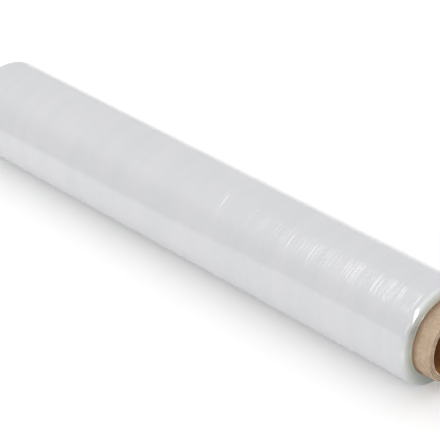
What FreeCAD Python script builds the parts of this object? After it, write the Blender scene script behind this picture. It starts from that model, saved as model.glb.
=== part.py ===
# Hand roll of stretch wrap: a stretch film web wound tight on a paperboard tube.
# The roll lies on its side, on the small flat spot that its weight presses into the soft turns.
# X runs along the roll and Z is up. The origin is on the floor under the middle of the roll.
# Lengths are in millimetres and angles in degrees.

import FreeCAD
import Part
import Sketcher
import math
import os

# Name, size and meaning of every driving dimension.
SIZES = [
    ("core_bore", 50.8, "inside diameter of the paperboard tube, two inches"),
    ("core_wall", 5.5, "wall of the tube"),
    ("core_overhang", 15, "length of tube left bare at each end of the film"),
    ("core_edge_break", 0.4, "bevel that the cutting knife leaves on each edge of the tube"),
    ("ply_thickness", 1.4, "thickness of one board ply"),
    ("ply_line_width", 0.35, "width of the open line between two plies at the cut end"),
    ("ply_line_depth", 0.5, "depth of that line"),
    ("seam_pitch", 140, "advance of the spiral board strip in one turn"),
    ("seam_gap", 0.7, "gap between two turns of the strip"),
    ("seam_depth", 0.35, "depth of that gap"),
    ("film_width", 500, "width of the film web"),
    ("film_build", 10.3, "thickness of all the wound turns"),
    ("shoulder_round", 3, "radius where the outer turns roll over the end"),
    ("lip_width", 2.6, "thickness of the first turns, which stand out beside the tube"),
    ("lip_height", 1, "how far the first turns stand out of the end"),
    ("lip_bevel", 0.6, "bevel on the edge of the first turns"),
    ("turn_line_pitch", 1.3, "step between the lines that groups of turns leave on the end"),
    ("turn_line_width", 0.4, "width of such a line"),
    ("turn_line_depth", 0.22, "depth of such a line"),
    ("gauge_band_pitch", 50, "mean step between the thin lanes of the web"),
    ("gauge_band_wander", 12, "how far a lane strays from an even step"),
    ("gauge_valley_width", 9, "width of the valley that a thin lane leaves round the roll"),
    ("gauge_valley_depth", 0.16, "depth of that valley"),
    ("flat_depth", 0.6, "how far the roll's own weight flattens it"),
]

# Radii, heights and half lengths that follow from the sizes.
BORE_RADIUS = "(Sizes.core_bore / 2)"
CORE_RADIUS = "(Sizes.core_bore / 2 + Sizes.core_wall)"
LIP_RADIUS = f"({CORE_RADIUS} + Sizes.lip_width)"
FILM_RADIUS = f"({CORE_RADIUS} + Sizes.film_build)"
AXIS_HEIGHT = f"({FILM_RADIUS} - Sizes.flat_depth)"
CORE_HALF = "(Sizes.film_width / 2 + Sizes.core_overhang)"
LIP_HALF = "(Sizes.film_width / 2)"
FILM_HALF = f"({LIP_HALF} - Sizes.lip_height)"
BARREL_HALF = f"({FILM_HALF} - Sizes.shoulder_round)"

# Circles are told apart to within this.
NEAR = 0.001


def add_sheet(doc):
    """Writes the driving dimensions to a spreadsheet, one alias to a row."""
    sheet = doc.addObject("Spreadsheet::Sheet", "Sizes")
    for row, (name, size, meaning) in enumerate(SIZES, start=1):
        sheet.set(f"A{row}", name)
        sheet.set(f"B{row}", str(size))
        sheet.set(f"C{row}", meaning)
        sheet.setAlias(f"B{row}", name)
    doc.recompute()


def value(thing, expression):
    """The number that an expression of the sheet comes to."""
    return float(thing.evalExpression(expression))


def add_body(doc, name):
    """An empty body whose own X axis is the roll's axis, held above the floor."""
    body = doc.addObject("PartDesign::Body", name)
    body.Label = name
    body.setExpression("Placement.Base.z", AXIS_HEIGHT)
    return body


def origin_plane(body, role):
    """One of the body's own three planes."""
    return next(plane for plane in body.Origin.OriginFeatures if plane.Role == role)


def add_sketch(body, name, role):
    """An empty sketch on one of the body's own planes."""
    sketch = body.newObject("Sketcher::SketchObject", name)
    sketch.AttachmentSupport = (origin_plane(body, role), [""])
    sketch.MapMode = "FlatFace"
    return sketch


def pin(sketch, element, end, place):
    """Holds one end of a line or arc at a place given by two expressions."""
    for kind, expression in zip(("DistanceX", "DistanceY"), place):
        distance = value(sketch, expression)
        number = sketch.addConstraint(Sketcher.Constraint(kind, -1, 1, element, end, distance))
        sketch.setExpression(f"Constraints[{number}]", expression)


def add_outline(sketch, corners):
    """A closed outline of straight lines. Each corner is a pair of expressions."""
    points = [FreeCAD.Vector(value(sketch, across), value(sketch, up), 0) for across, up in corners]
    lines = [
        sketch.addGeometry(Part.LineSegment(point, points[(number + 1) % len(points)]), False)
        for number, point in enumerate(points)
    ]
    for number, line in enumerate(lines):
        following = lines[(number + 1) % len(lines)]
        sketch.addConstraint(Sketcher.Constraint("Coincident", line, 2, following, 1))
        pin(sketch, line, 1, corners[number])


def add_face_notch(sketch, face, radius, width, depth):
    """A V notch in a flat end, given the place of the end and the radius of the notch."""
    add_outline(sketch, [
        (f"{face} + {depth}", f"{radius} - {width}"),
        (f"{face} + {depth}", f"{radius} + {width}"),
        (f"{face} - {depth}", radius),
    ])


def add_round_notch(sketch, place, radius, width, depth):
    """A V notch in a round face, given its place along the roll and the radius of the face."""
    add_outline(sketch, [
        (f"{place} - {width}", f"{radius} + {depth}"),
        (f"{place} + {width}", f"{radius} + {depth}"),
        (place, f"{radius} - {depth}"),
    ])


def add_turned(doc, body, kind, name, sketch):
    """A revolution or a groove of the sketch, all the way round the roll's axis."""
    turned = body.newObject(f"PartDesign::{kind}", name)
    turned.Profile = sketch
    turned.ReferenceAxis = (sketch, ["H_Axis"])
    turned.Angle = 360
    doc.recompute()
    return turned


def add_mirror(doc, body, name, feature):
    """Repeats a feature at the other end of the roll."""
    mirror = body.newObject("PartDesign::Mirrored", name)
    mirror.Originals = [feature]
    mirror.MirrorPlane = (origin_plane(body, "YZ_Plane"), [""])
    body.Tip = mirror
    doc.recompute()


def add_edge_work(doc, body, kind, name, size, rings):
    """A fillet or chamfer on the rings of the last feature, given by radius and half length."""
    base = body.Tip
    wanted = [(value(body, radius), value(body, half)) for radius, half in rings]
    edges = []
    for number, edge in enumerate(base.Shape.Edges, start=1):
        if isinstance(edge.Curve, Part.Circle):
            found = (edge.Curve.Radius, abs(edge.Curve.Center.x))
            if any(math.dist(found, ring) < NEAR for ring in wanted):
                edges.append(f"Edge{number}")
    work = body.newObject(f"PartDesign::{kind}", name)
    work.Base = (base, edges)
    work.setExpression("Radius" if kind == "Fillet" else "Size", size)
    doc.recompute()


def add_core(doc):
    """The tube: board strips wound in a spiral and glued, cut square with a knife."""
    body = add_body(doc, "core_tube")
    wall = add_sketch(body, "wall_section", "XZ_Plane")
    add_outline(wall, [
        (f"-{CORE_HALF}", BORE_RADIUS),
        (CORE_HALF, BORE_RADIUS),
        (CORE_HALF, CORE_RADIUS),
        (f"-{CORE_HALF}", CORE_RADIUS),
    ])
    add_turned(doc, body, "Revolution", "tube", wall)
    rings = [(BORE_RADIUS, CORE_HALF), (CORE_RADIUS, CORE_HALF)]
    add_edge_work(doc, body, "Chamfer", "knife_bevel", "Sizes.core_edge_break", rings)
    add_ply_lines(doc, body)
    add_seam(doc, body)
    return body


def add_ply_lines(doc, body):
    """Ring lines between the plies, at both cut ends of the tube."""
    lines = math.ceil(value(body, "Sizes.core_wall / Sizes.ply_thickness") - 0.5) - 1
    sketch = add_sketch(body, "ply_line_section", "XZ_Plane")
    for line in range(1, lines + 1):
        radius = f"({BORE_RADIUS} + {line} * Sizes.ply_thickness)"
        add_face_notch(sketch, CORE_HALF, radius, "Sizes.ply_line_width", "Sizes.ply_line_depth")
    groove = add_turned(doc, body, "Groove", "ply_lines", sketch)
    add_mirror(doc, body, "ply_lines_far", groove)


def add_seam(doc, body):
    """The gap between two turns of the outer strip, a helix that starts just before the tube."""
    start = f"(-{CORE_HALF} - 2 * Sizes.seam_gap)"
    sketch = add_sketch(body, "seam_section", "XZ_Plane")
    add_round_notch(sketch, start, CORE_RADIUS, "Sizes.seam_gap", "Sizes.seam_depth")
    seam = body.newObject("PartDesign::SubtractiveHelix", "seam")
    seam.Profile = sketch
    seam.ReferenceAxis = (sketch, ["H_Axis"])
    seam.Mode = "pitch-height-angle"
    seam.setExpression("Pitch", "Sizes.seam_pitch")
    seam.setExpression("Height", f"2 * {CORE_HALF} + 4 * Sizes.seam_gap")
    doc.recompute()


def add_film(doc):
    """The wound web: a barrel with round shoulders, lipped ends, valleys and a flat spot."""
    body = add_body(doc, "film_roll")
    turns = add_sketch(body, "turns_section", "XZ_Plane")
    near_end = [
        (LIP_HALF, CORE_RADIUS),
        (LIP_HALF, LIP_RADIUS),
        (FILM_HALF, LIP_RADIUS),
        (FILM_HALF, FILM_RADIUS),
    ]
    far_end = [(f"-{half}", radius) for half, radius in reversed(near_end)]
    add_outline(turns, near_end + far_end)
    add_turned(doc, body, "Revolution", "turns", turns)
    add_edge_work(doc, body, "Fillet", "shoulders", "Sizes.shoulder_round", [(FILM_RADIUS, FILM_HALF)])
    add_edge_work(doc, body, "Chamfer", "lip_edges", "Sizes.lip_bevel", [(LIP_RADIUS, LIP_HALF)])
    add_turn_lines(doc, body)
    add_gauge_valleys(doc, body)
    add_flat_spot(doc, body)
    return body


def add_turn_lines(doc, body):
    """Fine ring lines on both ends, where one group of turns lies a little deeper."""
    flat = value(body, "Sizes.film_build - Sizes.lip_width - Sizes.shoulder_round")
    count = int(flat / value(body, "Sizes.turn_line_pitch"))
    sketch = add_sketch(body, "turn_line_section", "XZ_Plane")
    shape = ("Sizes.turn_line_width", "Sizes.turn_line_depth")
    for line in range(count):
        radius = f"({LIP_RADIUS} + {line + 0.7} * Sizes.turn_line_pitch)"
        add_face_notch(sketch, FILM_HALF, radius, *shape)
    groove = add_turned(doc, body, "Groove", "turn_lines", sketch)
    add_mirror(doc, body, "turn_lines_far", groove)


def add_gauge_valleys(doc, body):
    """Shallow valleys round the roll over the thin lanes of the web, unevenly spaced."""
    pitch = value(body, "Sizes.gauge_band_pitch")
    margin = value(body, "Sizes.gauge_valley_width + Sizes.gauge_band_wander")
    steps = int((value(body, BARREL_HALF) - margin) / pitch)
    sketch = add_sketch(body, "gauge_valley_section", "XZ_Plane")
    for step in range(-steps, steps + 1):
        stray = round(math.sin(2.4 * step + 0.35 * step * step), 3)
        place = f"({step} * Sizes.gauge_band_pitch + {stray} * Sizes.gauge_band_wander)"
        share = round(0.75 + 0.25 * math.sin(1.7 * step + 1), 3)
        width = f"({share} * Sizes.gauge_valley_width)"
        depth = f"({share} * Sizes.gauge_valley_depth)"
        add_round_notch(sketch, place, FILM_RADIUS, width, depth)
    add_turned(doc, body, "Groove", "gauge_valleys", sketch)


def add_flat_spot(doc, body):
    """The flat that the soft turns take where the roll lies."""
    sketch = add_sketch(body, "flat_spot_section", "YZ_Plane")
    add_outline(sketch, [
        (f"-{FILM_RADIUS}", f"-{AXIS_HEIGHT}"),
        (f"-{FILM_RADIUS}", f"-2 * {FILM_RADIUS}"),
        (FILM_RADIUS, f"-2 * {FILM_RADIUS}"),
        (FILM_RADIUS, f"-{AXIS_HEIGHT}"),
    ])
    flat = body.newObject("PartDesign::Pocket", "flat_spot")
    flat.Profile = sketch
    flat.SideType = "Symmetric"
    flat.setExpression("Length", "2 * Sizes.film_width")
    doc.recompute()


def check(doc, bodies):
    """Stops on a failed object, a bad shape, or a later feature that cuts nothing."""
    for thing in doc.Objects:
        if "Invalid" in thing.State or "Error" in thing.State:
            raise RuntimeError(f"{thing.Label} failed: {thing.State}")
    for body in bodies:
        shape = body.Shape
        if shape.isNull() or not shape.isValid() or len(shape.Solids) != 1:
            raise RuntimeError(f"{body.Label} is not one sound solid")
        features = [thing for thing in body.Group if thing.isDerivedFrom("PartDesign::Feature")]
        for earlier, later in zip(features, features[1:]):
            gain = later.Shape.Volume - earlier.Shape.Volume
            if gain >= 0:
                raise RuntimeError(f"{body.Label}: {later.Name} cuts nothing, volume {gain:+.3f}")


def main():
    doc = FreeCAD.newDocument("StretchWrapRoll")
    add_sheet(doc)
    bodies = [add_core(doc), add_film(doc)]
    doc.recompute()
    check(doc, bodies)
    os.makedirs("parts", exist_ok=True)
    for body in bodies:
        body.Shape.exportStep(f"parts/{body.Label}.step")
        print(f"{body.Label}: {body.Shape.Volume:.0f} cubic mm")


main()
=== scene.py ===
# Stretch wrap roll, lying on a pale floor: clear film wound on a paperboard tube.
import bpy
import math
import numpy as np
from mathutils import Matrix, Vector


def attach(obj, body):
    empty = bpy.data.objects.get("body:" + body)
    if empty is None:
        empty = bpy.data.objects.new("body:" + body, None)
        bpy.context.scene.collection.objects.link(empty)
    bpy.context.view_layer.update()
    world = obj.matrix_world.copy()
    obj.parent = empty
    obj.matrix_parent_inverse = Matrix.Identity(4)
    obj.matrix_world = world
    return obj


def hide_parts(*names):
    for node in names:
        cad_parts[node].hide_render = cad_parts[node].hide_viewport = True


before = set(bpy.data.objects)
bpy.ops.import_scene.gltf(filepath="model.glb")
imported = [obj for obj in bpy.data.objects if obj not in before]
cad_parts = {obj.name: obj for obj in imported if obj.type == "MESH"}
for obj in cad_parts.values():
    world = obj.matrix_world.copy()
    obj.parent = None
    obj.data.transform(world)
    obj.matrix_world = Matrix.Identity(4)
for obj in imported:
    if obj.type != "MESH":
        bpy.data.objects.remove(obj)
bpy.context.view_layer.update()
print("frame loaded")

mm = 0.001
axisHeight = 40.6 * mm  # height of the roll's axis over the floor


# Small helpers

# One sRGB hex colour as linear red, green, blue and full alpha.
def linearColour(hexColour):
    parts = [int(hexColour[i:i + 2], 16) / 255 for i in (1, 3, 5)]
    linear = [c / 12.92 if c <= 0.04045 else ((c + 0.055) / 1.055) ** 2.4 for c in parts]
    return tuple(linear) + (1.0,)


# Adds one node with its settings and its input values or links.
def addNode(tree, kind, inputs=None, **settings):
    node = tree.nodes.new(kind)
    for name, setting in settings.items():
        setattr(node, name, setting)
    for name, given in (inputs or {}).items():
        if isinstance(given, bpy.types.NodeSocket):
            tree.links.new(given, node.inputs[name])
        else:
            node.inputs[name].default_value = given
    return node


# A new material with an empty node tree and its output node.
def newMaterial(name):
    material = bpy.data.materials.new(name)
    material.use_nodes = True
    material.node_tree.nodes.clear()
    return material, material.node_tree, addNode(material.node_tree, "ShaderNodeOutputMaterial")


# A ramp between positions in 0 to 1 and their hex colours.
def addRamp(tree, factor, stops, blend="EASE"):
    ramp = addNode(tree, "ShaderNodeValToRGB", {"Fac": factor})
    ramp.color_ramp.interpolation = blend
    while len(ramp.color_ramp.elements) < len(stops):
        ramp.color_ramp.elements.new(0.5)
    for element, (position, hexColour) in zip(ramp.color_ramp.elements, stops):
        element.position = position
        element.color = linearColour(hexColour)
    return ramp.outputs["Color"]


# Two colours mixed by a factor, or the second laid over the first by another blend.
def addMix(tree, factor, first, second, blend="MIX"):
    mix = addNode(tree, "ShaderNodeMix", data_type="RGBA", blend_type=blend)
    # this node has inputs for each kind of data: 6 and 7 are its two colours, and output 2 the mixed one
    for socket, given in ((0, factor), (6, first), (7, second)):
        if isinstance(given, bpy.types.NodeSocket):
            tree.links.new(given, mix.inputs[socket])
        else:
            mix.inputs[socket].default_value = given
    return mix.outputs[2]


# A closed ring of quads from a grid of points. Both grid directions wrap round: point (row, column)
# joins (row, column + 1), (row + 1, column + 1) and (row + 1, column).
def closedGrid(name, points):
    rows, columns = points.shape[:2]
    index = np.arange(rows * columns).reshape(rows, columns)
    right, below = np.roll(index, -1, axis=1), np.roll(index, -1, axis=0)
    quads = np.stack([index, right, np.roll(right, -1, axis=0), below], axis=-1).reshape(-1, 4)
    mesh = bpy.data.meshes.new(name)
    mesh.vertices.add(rows * columns)
    mesh.vertices.foreach_set("co", points.reshape(-1).astype(np.float32))
    mesh.loops.add(quads.size)
    mesh.loops.foreach_set("vertex_index", quads.reshape(-1).astype(np.int32))
    mesh.polygons.add(len(quads))
    mesh.polygons.foreach_set("loop_start", np.arange(0, quads.size, 4, dtype=np.int32))
    mesh.polygons.foreach_set("loop_total", np.full(len(quads), 4, dtype=np.int32))
    mesh.polygons.foreach_set("use_smooth", np.ones(len(quads), dtype=bool))
    mesh.update(calc_edges=True)
    piece = bpy.data.objects.new(name, mesh)
    bpy.context.scene.collection.objects.link(piece)
    return piece


# Gives a material one value for each row of a piece's grid, the same all the way round the roll.
def addShare(piece, name, share, columns):
    layer = piece.data.attributes.new(name, "FLOAT", "POINT")
    layer.data.foreach_set("value", np.repeat(share * 1.0, columns).astype(np.float32))


# Smooth noise along a line: for each wavelength the sum of five sines, sin(2 pi along / length + phase),
# each with a length 0.7 to 1.4 times the wavelength and a phase of its own. The sum is divided by the
# square root of 2.5 times the number of wavelengths, which makes it about 1 high.
def lineNoise(along, wavelengths, seed):
    spread = np.random.default_rng(seed)
    total = np.zeros_like(along, dtype=float)
    for wavelength in wavelengths:
        for _ in range(5):
            length = wavelength * spread.uniform(0.7, 1.4)
            total += np.sin(2 * np.pi * along / length + spread.uniform(0, 6.283))
    return total / math.sqrt(2.5 * len(wavelengths))


# Wound film

film = {  # lengths in mm
    "coreRadius": 30.9, "radius": 41.65, "halfWidth": 250.0,
    "lipWidth": 2.6, "lipHeight": 1.0, "lipRound": 0.8, "lipFoot": 0.05,  # first turns, which stand out
    "shoulderRound": 4.2, "farRound": 2.4,  # near and far rim
    "grooveWidth": 0.7, "grooveDepth": 0.9,  # open line between the first turns and the tube
    "ringHeight": 0.025, "ringPitches": (2.0, 2.5, 3.3),  # fine hoops round the roll
    "ringSets": ((3, 0.0), (5, 2.1), (8, 4.2)),  # seed and phase of three sets, strong at different places
    "bandHeight": 0.06, "bandPitches": (34, 52), "bandSeed": 11,  # broad hoops over thick and thin lanes
    "endRingHeight": 0.07, "endRingPitches": (0.7, 1.1), "endRingSeed": 7, "endRingReach": 4,
    "freeEndAngle": 24, "freeEndStep": 0.10,  # on the back, degrees up from level
    "freeEndWave": 0.010, "freeEndWaveLength": 37.0, "freeEndSkew": 0.00012,  # radians, mm, radians per mm
    "freeEndColumns": (-0.012, -0.001, 0.001, 0.012),  # radians to each side of it
    "columns": 70, "barrelRows": 1200, "boreRows": 8, "faceRows": 22, "roundRows": 9, "grooveRows": 6,
    "sideTones": ("#cccdcf", "#d0d0d3"),  # thin and thick lanes
    "endTones": (  # place from rim to tube, tone low on the end with painted shade, tone high on it with painted light
        (0.10, "#d8dcda", "#dddfe0"),
        (0.27, "#ced5d1", "#d8dad9"),
        (0.40, "#c7cfc8", "#d8dbd7"),
        (0.55, "#bec6be", "#d2d5d0"),
        (0.70, "#b2bbb0", "#cbcbc2"),
        (0.80, "#a6ada1", "#b0a799"),
        (0.92, "#a2a294", "#a0917f"),
    ),
    "shadedAndLitHeights": (10, 75),  # heights over the floor of the painted shade low on the end and the painted light high on it
    "shadeByHeight": (  # painted shade by height: height over the floor as a share of levelTop, and what the end's tone is multiplied by, darkest near the floor and in bands
        (0.03, "#bdbdbd"), (0.10, "#d2d2d2"), (0.17, "#e1e1e1"), (0.37, "#f3f3f3"), (0.50, "#ffffff"),
        (0.60, "#ededed"), (0.715, "#d3d3d3"), (0.80, "#e7e7e7"), (0.88, "#ffffff"),
    ),
    "levelTop": 82,
    "depthRoughness": 0.5, "skinRoughness": 0.085, "skinBump": 0.5,  # the turns' depth and the outer skin
}


# One end of the film's section, from the groove at the tube over lip, flat and shoulder to the barrel.
# Lip and shoulder are quarter circles x = centre + round cos(t), r = centre + round sin(t), the groove is
# a quarter ellipse that is grooveDepth deep at the tube, and the flat runs straight up.
def filmEnd(shoulder):
    f = film
    flatHalf = f["halfWidth"] - f["lipHeight"]
    lipTop = f["coreRadius"] + f["lipWidth"]
    arc = np.linspace(0, np.pi / 2, f["roundRows"])
    groove = np.linspace(0, np.pi / 2, f["grooveRows"])
    grooveX = f["halfWidth"] - f["grooveDepth"] * (1 - np.sin(groove))
    grooveR = f["coreRadius"] + f["grooveWidth"] * (1 - np.cos(groove))
    lipX = f["halfWidth"] - f["lipRound"] + f["lipRound"] * np.cos(arc)
    lipR = lipTop - f["lipRound"] + f["lipRound"] * np.sin(arc)
    faceX = np.full(f["faceRows"], flatHalf)
    faceR = np.linspace(lipTop + f["lipFoot"], f["radius"] - shoulder, f["faceRows"])
    shoulderX = flatHalf - shoulder + shoulder * np.cos(arc)
    shoulderR = f["radius"] - shoulder + shoulder * np.sin(arc)
    x = np.concatenate([grooveX, lipX, faceX, shoulderX[1:]])
    return x, np.concatenate([grooveR, lipR, faceR, shoulderR[1:]])


# The film's section as a closed loop of places along the roll (x) and radii (r), in mm:
# up the far end, along the barrel, down the near end, back along the tube.
def filmLoop():
    f = film
    farX, farR = filmEnd(f["farRound"])
    nearX, nearR = filmEnd(f["shoulderRound"])
    barrelX = np.linspace(-farX[-1], nearX[-1], f["barrelRows"])[1:-1]
    barrelR = np.full(len(barrelX), f["radius"])
    boreX = np.linspace(nearX[0], -farX[0], f["boreRows"])[1:-1]
    boreR = np.full(len(boreX), f["coreRadius"])
    x = np.concatenate([-farX, barrelX, nearX[::-1], boreX])
    return x, np.concatenate([farR, barrelR, nearR[::-1], boreR])


# Each loop point is carried round the axis: y = radius cos(angle), z = axis height + radius sin(angle).
# The radius is r + onBarrel (fine hoops + broad bands + free end), where onBarrel grows from 0 to 1 over
# the shoulder, as the square of the way up it. A set of fine hoops is noise along x times
# 0.5 + 0.5 cos(2 angle + phase), so hoops come and go round the roll. The free end is a step up that
# falls evenly to nothing over half a turn. On the ends x gains rings, which are noise along the radius.
# Points under the floor are lifted to it, which is the flat spot.
def makeFilm():
    f = film
    x, r = filmLoop()
    # angle runs from the back, over the top, to the front and under, with extra columns at the free end
    beside = math.radians(f["freeEndAngle"]) + np.array(f["freeEndColumns"])
    angle = np.sort(np.concatenate([np.linspace(0, 2 * np.pi, f["columns"], endpoint=False), beside]))
    onBarrel = np.clip((r - (f["radius"] - f["shoulderRound"])) / f["shoulderRound"], 0, 1) ** 2
    hoops = 0
    for seed, phase in f["ringSets"]:
        fade = 0.5 + 0.5 * np.cos(2 * angle + phase)
        hoops = hoops + f["ringHeight"] * np.outer(lineNoise(x, f["ringPitches"], seed), fade)
    hoops += f["bandHeight"] * lineNoise(x, f["bandPitches"], f["bandSeed"])[:, None]
    hoops *= onBarrel[:, None]
    freeEnd = math.radians(f["freeEndAngle"]) + f["freeEndWave"] * np.sin(x / f["freeEndWaveLength"])
    freeEnd += f["freeEndSkew"] * x
    past = (angle[None, :] - freeEnd[:, None]) % (2 * np.pi)
    hoops += f["freeEndStep"] * np.clip(1 - past / np.pi, 0, 1) * onBarrel[:, None]
    radius = r[:, None] + hoops
    atEnd = (np.abs(x) > f["halfWidth"] - f["endRingReach"]) & (r > f["coreRadius"] + f["grooveWidth"])
    rings = f["endRingHeight"] * lineNoise(r, f["endRingPitches"], f["endRingSeed"]) * (1 - onBarrel) * atEnd
    place = (x + np.sign(x) * rings)[:, None] + 0 * radius
    y, z = radius * np.cos(angle), radius * np.sin(angle)
    points = np.stack([place * mm, y * mm, np.maximum(z * mm + axisHeight, 0.0)], axis=-1)
    piece = closedGrid("film", points)
    # endShare is 0 on the barrel, and on the ends it goes from 0 at the rim to 1 at the tube
    onEnd = np.abs(x) > f["halfWidth"] - f["lipHeight"] - f["shoulderRound"]
    inward = (f["radius"] - r) / (f["radius"] - f["coreRadius"])
    addShare(piece, "endShare", onEnd * inward, len(angle))
    piece.data.materials.append(castClingFilm())
    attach(piece, "root")
    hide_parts("film_roll")


# Cast polyethylene cling film, wound hundreds of turns deep: each turn is clear, together they look milky
# and cool, the skin is glossy and finely hooped. The cut ends let light in and look like pale green glass,
# browner towards the tube. Their tone also has painted shade low down and painted light high up, and is
# darkened by bands of painted shade by height.
def castClingFilm():
    f = film
    low, high = f["shadedAndLitHeights"]
    thin, thick = f["sideTones"]
    material, tree, output = newMaterial("castClingFilm")
    place = addNode(tree, "ShaderNodeTexCoord").outputs["Object"]
    # hoops in the gloss, 2 mm wide (480 to the metre) and 45 mm long (22 to the metre), which is coarser
    # than the finest real ones, of a few tenths of a millimetre
    spacing = addNode(tree, "ShaderNodeMapping", {"Vector": place, "Scale": (480, 22, 22)}).outputs["Vector"]
    hoops = addNode(tree, "ShaderNodeTexNoise", {
        "Vector": spacing, "Scale": 1.0, "Detail": 1.5,
    }).outputs["Fac"]
    # lanes of thick and thin film, 14 mm wide (70 to the metre) and 110 mm long (9 to the metre)
    spacing = addNode(tree, "ShaderNodeMapping", {"Vector": place, "Scale": (70, 9, 9)}).outputs["Vector"]
    lanes = addNode(tree, "ShaderNodeTexNoise", {
        "Vector": spacing, "Scale": 1.0, "Detail": 4.0,
    }).outputs["Fac"]
    side = addRamp(tree, lanes, [(0.3, thin), (0.7, thick)])
    share = addNode(tree, "ShaderNodeAttribute", attribute_name="endShare").outputs["Fac"]
    height = addNode(tree, "ShaderNodeSeparateXYZ", {"Vector": place}).outputs["Z"]
    upward = addNode(tree, "ShaderNodeMapRange", {
        "Value": height, "From Min": low * mm, "From Max": high * mm,
    }).outputs["Result"]
    level = addNode(tree, "ShaderNodeMapRange", {
        "Value": height, "From Min": 0.0, "From Max": f["levelTop"] * mm,
    }).outputs["Result"]
    # the side's tone gives way to the end's over the outer tenth of the end
    onEnd = addNode(tree, "ShaderNodeMapRange", {
        "Value": share, "From Max": 0.10,
    }, interpolation_type="SMOOTHSTEP").outputs["Result"]
    # painted light and shade: the end's tone is darker low down and lighter high up, as light falls from
    # above
    shadedEnd = addRamp(tree, share, [(stop, shadedTone) for stop, shadedTone, litTone in f["endTones"]])
    litEnd = addRamp(tree, share, [(stop, litTone) for stop, shadedTone, litTone in f["endTones"]])
    end = addMix(tree, upward, shadedEnd, litEnd)
    # painted shade: the end's tone is darkened in bands by its height over the floor
    end = addMix(tree, 1.0, end, addRamp(tree, level, f["shadeByHeight"]), "MULTIPLY")
    bump = addNode(tree, "ShaderNodeBump", {
        "Height": hoops, "Strength": f["skinBump"], "Distance": 0.3 * mm,
    }).outputs["Normal"]
    # the matte part is the depth of the turns, and the coat is the outer skin: its IOR is a little over
    # polyethylene's 1.5, because the first few turns reflect together
    skin = addNode(tree, "ShaderNodeBsdfPrincipled", {
        "Base Color": addMix(tree, onEnd, side, end), "Roughness": f["depthRoughness"], "IOR": 1.50,
        "Coat Weight": 1.0, "Coat Roughness": f["skinRoughness"], "Coat IOR": 1.65, "Coat Normal": bump,
    })
    tree.links.new(skin.outputs["BSDF"], output.inputs["Surface"])
    return material


# Paperboard tube

tube = {  # lengths in mm
    "bore": 25.4, "radius": 30.9, "halfLength": 265.0, "edge": 0.45,
    "plies": 4, "plyLineDepth": 0.6, "plyLineWidth": 0.42,
    "seamStart": 266.4, "seamPitch": 140.0, "seamDepth": 0.3, "seamWidth": 0.8,
    "fuzz": 0.05, "fuzzAcross": 0.4, "fuzzSeed": 21,  # roughness of the cut ends, and its share across them
    "columns": 160, "edgeRows": 6, "cutRows": 70,
    "bareLength": 24.0, "bareRows": 30, "coveredHalf": 238.0, "coveredRows": 120,  # more rows near the ends
    "wallTones": ("#ac937a", "#ceb79e"),  # the mottle where it is dark and where it is light
    "regionTones": {  # the same pair for each region that makeTube marks
        "cutShare": ("#b19981", "#d9c3a9"),
        "lineShare": ("#473626", "#584432"),
        # the bore's darker, redder tones are painted shade and the warm light bounced inside it
        "shadedBoreShare": ("#95662e", "#ba8742"),
    },
    "filmShadeTone": "#e0d2c4", "filmShadeFrom": 250.0, "filmShadeTo": 254.5,  # painted shade of the film, darker and browner on the tube beside it
    "roughness": 0.8, "fibreBump": 0.3,
}


# The tube's section as a closed loop of x and r, in mm: outside wall, rounded edge, cut end with
# V lines between the plies, rounded edge, bore, and the same at the far end. A V line is
# plyLineDepth (1 - distance from the ply's edge / plyLineWidth) deep. The third thing given is how deep
# each point lies in such a line, from 0 to 1.
def tubeLoop():
    t = tube
    arc = np.linspace(0, np.pi / 2, t["edgeRows"])
    outerX = t["halfLength"] - t["edge"] + t["edge"] * np.sin(arc)
    outerR = t["radius"] - t["edge"] + t["edge"] * np.cos(arc)
    cutR = np.linspace(t["radius"] - t["edge"], t["bore"] + t["edge"], t["cutRows"])[1:-1]
    innerR = t["bore"] + t["edge"] - t["edge"] * np.sin(arc)
    innerX = t["halfLength"] - t["edge"] + t["edge"] * np.cos(arc)
    ply = (t["radius"] - t["bore"]) / t["plies"]
    away = np.abs((cutR - t["bore"]) / ply - np.round((cutR - t["bore"]) / ply)) * ply
    inside = (cutR > t["bore"] + ply * 0.5) & (cutR < t["radius"] - ply * 0.5)
    cutLine = np.clip(1 - away / t["plyLineWidth"], 0, 1) * inside
    endX = np.concatenate([outerX, t["halfLength"] - t["plyLineDepth"] * cutLine, innerX])
    endR = np.concatenate([outerR, cutR, innerR])
    bareStart = t["halfLength"] - t["bareLength"]
    wallX = np.concatenate([
        np.linspace(-outerX[0], -bareStart, t["bareRows"]),
        np.linspace(-t["coveredHalf"], t["coveredHalf"], t["coveredRows"]),
        np.linspace(bareStart, outerX[0], t["bareRows"]),
    ])[1:-1]
    x = np.concatenate([wallX, endX, wallX[::-1], -endX[::-1]])
    r = np.concatenate([np.full(len(wallX), t["radius"]), endR, np.full(len(wallX), t["bore"]), endR[::-1]])
    endLine = np.concatenate([0 * outerX, cutLine, 0 * innerX])
    return x, r, np.concatenate([0 * wallX, endLine, 0 * wallX, endLine[::-1]])


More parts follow.
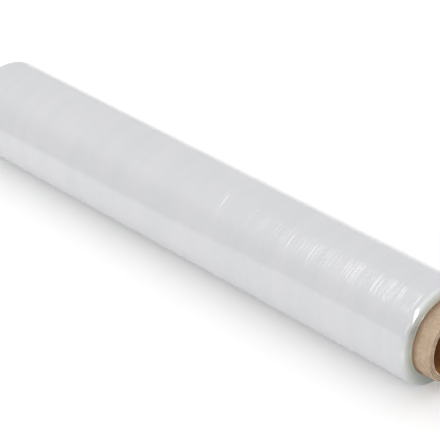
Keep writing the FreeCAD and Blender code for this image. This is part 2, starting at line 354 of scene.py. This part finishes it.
# Each loop point is carried round the axis: y = radius cos(angle), z = axis height + radius sin(angle).
# Where (x + seamStart) / seamPitch - (angle - pi / 2) / 2 pi is a whole number, the strip meets its next
# turn: there the wall sinks by seamDepth (1 - distance along x / seamWidth), outside and in the bore.
# Seeded noise roughens the cut ends.
def makeTube():
    t = tube
    x, r, onLine = tubeLoop()
    rounding = 0.01  # mm
    angle = np.linspace(0, 2 * np.pi, t["columns"], endpoint=False)
    outside = (r > t["radius"] - rounding) * 1.0
    within = (r < t["bore"] + rounding) * 1.0
    turn = ((x[:, None] + t["seamStart"]) / t["seamPitch"] - (angle[None, :] - np.pi / 2) / (2 * np.pi)) % 1
    away = np.minimum(turn, 1 - turn) * t["seamPitch"]
    seam = t["seamDepth"] * np.clip(1 - away / t["seamWidth"], 0, 1)
    onCut = (np.abs(x) > t["halfLength"] - t["plyLineDepth"]) * (outside + within < 0.5)
    rough = np.random.default_rng(t["fuzzSeed"])
    fuzz = rough.normal(0, t["fuzz"], (len(x), t["columns"])) * onCut[:, None]
    radius = r[:, None] - seam * outside[:, None] + seam * within[:, None] + t["fuzzAcross"] * fuzz
    place = x[:, None] - np.sign(x)[:, None] * np.abs(fuzz)
    y, z = radius * np.cos(angle), radius * np.sin(angle)
    points = np.stack([place * mm, y * mm, z * mm + axisHeight], axis=-1)
    piece = closedGrid("tube", points)
    addShare(piece, "cutShare", onCut, t["columns"])
    addShare(piece, "lineShare", onLine * onCut, t["columns"])
    addShare(piece, "shadedBoreShare", within, t["columns"])
    piece.data.materials.append(spiralPaperboard())
    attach(piece, "root")
    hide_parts("core_tube")


# Brown recycled paperboard, wound in strips and glued: dull, faintly mottled by its fibres, with a paler cut
# end where dark glue lines show between the plies. The bore is darker and redder, which is painted shade and
# the warm light bounced inside it, and the wall beside the film has painted shade.
def spiralPaperboard():
    t = tube
    darkAt, lightAt = 0.12, 0.4
    material, tree, output = newMaterial("spiralPaperboard")
    place = addNode(tree, "ShaderNodeTexCoord").outputs["Object"]
    # fibres drawn 1.1 mm wide (900 to the metre), coarser than real ones of 0.05 mm, in clouds of 8 mm
    fibres = addNode(tree, "ShaderNodeTexNoise", {
        "Vector": place, "Scale": 900.0, "Detail": 5.0,
    }).outputs["Fac"]
    clouds = addNode(tree, "ShaderNodeTexNoise", {
        "Vector": place, "Scale": 120.0, "Detail": 3.0,
    }).outputs["Fac"]
    mottle = addNode(tree, "ShaderNodeMath", {0: fibres, 1: clouds}, operation="MULTIPLY").outputs[0]
    dark, light = t["wallTones"]
    colour = addRamp(tree, mottle, [(darkAt, dark), (lightAt, light)], "LINEAR")
    for name, (dark, light) in t["regionTones"].items():
        region = addNode(tree, "ShaderNodeAttribute", attribute_name=name).outputs["Fac"]
        tone = addRamp(tree, mottle, [(darkAt, dark), (lightAt, light)], "LINEAR")
        colour = addMix(tree, region, colour, tone)
    # painted shade: the wall is darkened where the film's end shades it
    along = addNode(tree, "ShaderNodeSeparateXYZ", {"Vector": place}).outputs["X"]
    along = addNode(tree, "ShaderNodeMath", {0: along}, operation="ABSOLUTE").outputs[0]
    fromFilm = addNode(tree, "ShaderNodeMapRange", {
        "Value": along, "From Min": t["filmShadeFrom"] * mm, "From Max": t["filmShadeTo"] * mm,
    }).outputs["Result"]
    filmShade = addRamp(tree, fromFilm, [(0.0, t["filmShadeTone"]), (1.0, "#ffffff")])
    colour = addMix(tree, 1.0, colour, filmShade, "MULTIPLY")
    bump = addNode(tree, "ShaderNodeBump", {
        "Height": fibres, "Strength": t["fibreBump"], "Distance": 0.2 * mm,
    }).outputs["Normal"]
    skin = addNode(tree, "ShaderNodeBsdfPrincipled", {
        "Base Color": colour, "Roughness": t["roughness"], "IOR": 1.45, "Normal": bump,
    })
    tree.links.new(skin.outputs["BSDF"], output.inputs["Surface"])
    return material


makeFilm()
print("film made")
makeTube()
print("tube made")


# Floor, light and camera, in metres

studio = {
    "floorColour": "#f4f4f4", "floorLift": 0.15,  # how much of white the floor adds for the eye
    "floorCorners": ((-6, -6), (6, -6), (6, 6), (-6, 6)),
    "cardColour": "#8f8f8f", "cardHeight": 0.001,
    "cardCorners": ((-0.155, -0.225), (-0.62, -0.117), (-5.5, -4.0), (-3.6, -5.53), (-0.21, -0.44)),
    "skyLow": 0.25, "skyHigh": 0.92, "skySide": (0, 0.33, 0.94), "skyReach": (0.0, 0.45),
}


# One flat face through the given corners, at one height.
def makeSheet(name, corners, height):
    mesh = bpy.data.meshes.new(name)
    mesh.from_pydata([(x, y, height) for x, y in corners], [], [range(len(corners))])
    sheet = bpy.data.objects.new(name, mesh)
    bpy.context.scene.collection.objects.link(sheet)
    return sheet


# A pale matte floor, the same all over, which shows white where no shadow falls on it. The camera, gloss
# and clear surfaces see it a little brighter than its light makes it.
def makeFloor():
    floor = makeSheet("floor", studio["floorCorners"], 0)
    material, tree, output = newMaterial("paleFloor")
    ray = addNode(tree, "ShaderNodeLightPath").outputs
    shown = ray["Is Camera Ray"]
    for other in ("Is Glossy Ray", "Is Transmission Ray"):
        shown = addNode(tree, "ShaderNodeMath", {0: shown, 1: ray[other]}, operation="MAXIMUM").outputs[0]
    lift = addNode(tree, "ShaderNodeMath", {0: shown, 1: studio["floorLift"]}, operation="MULTIPLY")
    matte = addNode(tree, "ShaderNodeBsdfDiffuse", {"Color": linearColour(studio["floorColour"])})
    glow = addNode(tree, "ShaderNodeEmission", {"Strength": lift.outputs[0]})
    both = addNode(tree, "ShaderNodeAddShader", {0: matte.outputs[0], 1: glow.outputs[0]})
    tree.links.new(both.outputs[0], output.inputs["Surface"])
    floor.data.materials.append(material)


# A grey card on the floor in front of the roll, as photographers use. It is seen only mirrored in the
# film, where its edge gives the line along the roll's lower front.
def makeCard():
    card = makeSheet("card", studio["cardCorners"], studio["cardHeight"])
    material, tree, output = newMaterial("greyCard")
    matte = addNode(tree, "ShaderNodeBsdfDiffuse", {"Color": linearColour(studio["cardColour"])})
    tree.links.new(matte.outputs[0], output.inputs["Surface"])
    card.data.materials.append(material)
    card.visible_camera = card.visible_diffuse = card.visible_shadow = card.visible_transmission = False


# A plain sky, brightest up and a little behind and dim at the front horizon: its strength goes smoothly
# from skyLow to skyHigh as direction . skySide goes through skyReach.
def makeSky():
    world = bpy.data.worlds.new("sky")
    bpy.context.scene.world = world
    world.use_nodes = True
    tree = world.node_tree
    tree.nodes.clear()
    towards = addNode(tree, "ShaderNodeTexCoord").outputs["Generated"]
    side = addNode(tree, "ShaderNodeVectorMath", {
        0: towards, 1: studio["skySide"],
    }, operation="DOT_PRODUCT").outputs["Value"]
    low, high = studio["skyReach"]
    level = addNode(tree, "ShaderNodeMapRange", {
        "Value": side, "From Min": low, "From Max": high,
        "To Min": studio["skyLow"], "To Max": studio["skyHigh"],
    }, interpolation_type="SMOOTHSTEP").outputs["Result"]
    sky = addNode(tree, "ShaderNodeBackground", {"Color": (1, 1, 1, 1), "Strength": level})
    output = addNode(tree, "ShaderNodeOutputWorld")
    tree.links.new(sky.outputs["Background"], output.inputs["Surface"])


lamps = {  # aim is the point of the roll's axis that the lamp faces
    "top": {
        "place": (-0.05, 0.30, 1.05), "aim": 0.0, "sides": (0.8, 0.8), "watts": 1.1,
        "shape": "RECTANGLE", "onMatte": True, "inGloss": False,
    },
    "streak": {  # thin, for the long highlight, with round ends that fade it out
        "place": (-0.33, -0.26, 0.88), "aim": 0.2, "sides": (0.06, 0.85), "watts": 0.52,
        "shape": "ELLIPSE", "onMatte": False, "inGloss": True,
    },
    "left": {
        "place": (-1.7, -1.7, 0.55), "aim": 0.0, "sides": (2.0, 0.9), "watts": 19.4,
        "shape": "RECTANGLE", "onMatte": True, "inGloss": False,
    },
    "fill": {
        "place": (1.6, -1.8, 0.55), "aim": 0.0, "sides": (2.0, 0.9), "watts": 13.6,
        "shape": "RECTANGLE", "onMatte": True, "inGloss": True,
    },
    "glint": {  # for the white spot on the near shoulder
        "place": (1.10, -0.26, 0.50), "aim": 0.25, "sides": (1.8, 0.22), "watts": 11.5,
        "shape": "RECTANGLE", "onMatte": False, "inGloss": True,
    },
}


# A soft lamp at a place, turned towards a point of the roll's axis, its first side along the roll.
def addLamp(name, place, aim, sides, watts, shape, onMatte, inGloss):
    lamp = bpy.data.lights.new(name, "AREA")
    lamp.shape, lamp.size, lamp.size_y, lamp.energy = shape, sides[0], sides[1], watts
    holder = bpy.data.objects.new(name, lamp)
    back = (Vector(place) - Vector((aim, 0, axisHeight))).normalized()
    across = back.cross(Vector((1, 0, 0))).normalized()
    turn = Matrix((across.cross(back), across, back)).transposed()
    holder.matrix_world = Matrix.Translation(place) @ turn.to_4x4()
    holder.visible_camera, holder.visible_diffuse, holder.visible_glossy = False, onMatte, inGloss
    bpy.context.scene.collection.objects.link(holder)


view = {
    "place": (1.0645, -1.0094, 0.9015), "towards": (-0.619, 0.597, -0.510), "farClip": 20.0,
    "lens": 173.86, "sensor": 36.0,  # mm
}


# The photograph's view: a long lens from the front right, 31 degrees above level.
def addCamera():
    lens = bpy.data.cameras.new("camera")
    lens.lens, lens.sensor_width, lens.clip_end = view["lens"], view["sensor"], view["farClip"]
    camera = bpy.data.objects.new("camera", lens)
    camera.location = view["place"]
    camera.rotation_euler = Vector(view["towards"]).to_track_quat("-Z", "Y").to_euler()
    bpy.context.scene.collection.objects.link(camera)
    bpy.context.scene.camera = camera


makeFloor()
makeCard()
makeSky()
for lampName, lampValues in lamps.items():
    addLamp(lampName, **lampValues)
addCamera()
bpy.context.scene.view_settings.view_transform = "Standard"
print("studio made")
